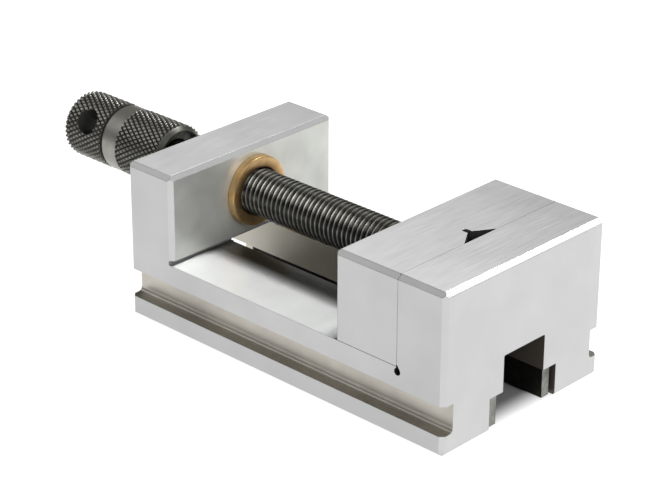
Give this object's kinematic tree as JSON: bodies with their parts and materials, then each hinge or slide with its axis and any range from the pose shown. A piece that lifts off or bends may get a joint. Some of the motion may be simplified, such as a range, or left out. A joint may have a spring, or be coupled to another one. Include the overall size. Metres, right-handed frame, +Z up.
{
  "type": "machine vise",
  "caption": "Small ground-steel toolmaker's screw vise with a sliding V-grooved jaw, a brass flanged nut and a knurled handle on a black screw.",
  "frame": {"origin": "on the plane the vise stands on, under the middle of its whole length with the handle, jaws closed", "axes": "+X from the handle towards the fixed jaw, +Y across the jaws, +Z up"},
  "size_m": [0.1614, 0.06, 0.044],
  "materials": {
    "ground_steel": "hardened tool steel, ground bright on every outer face",
    "black_oxide": "black oxide over machined steel, satin",
    "brass": "turned bright",
    "hardened_pin": "hardened and ground"
  },
  "bodies": {
    "vise": {"vise_body": "ground_steel", "flanged_nut": "brass", "nut_set_screw": "black_oxide", "guide_rail_near": "black_oxide", "guide_rail_far": "black_oxide", "rail_dowel_near_1": "hardened_pin", "rail_dowel_near_2": "hardened_pin", "rail_dowel_near_3": "hardened_pin", "rail_dowel_far_1": "hardened_pin", "rail_dowel_far_2": "hardened_pin", "rail_dowel_far_3": "hardened_pin"},
    "jaw": {"moving_jaw": "ground_steel", "keeper_plate": "black_oxide", "keeper_screw_rear": "black_oxide", "keeper_screw_front": "black_oxide", "keeper_washer_rear": "hardened_pin", "keeper_washer_front": "hardened_pin", "retaining_pin_near": "hardened_pin", "retaining_pin_far": "hardened_pin", "thrust_pad": "hardened_pin"},
    "screw": {"lead_screw": "black_oxide", "knurled_handle": "black_oxide", "handle_pin": "hardened_pin"}
  },
  "joints": [
    {"name": "jaw_slide", "type": "slide", "parent": "vise", "child": "jaw", "axis": [-1, 0, 0], "range_m": [0, 0.052]},
    {"name": "screw_turn", "type": "hinge", "parent": "jaw", "child": "screw", "pos_m": [0, 0, 0.0316], "axis": [-1, 0, 0], "range_deg": [0, 11800]}
  ],
  "couplings": [
    {"joint": "screw_turn", "follows": "jaw_slide", "rad_per_m": 3957.9}
  ]
}
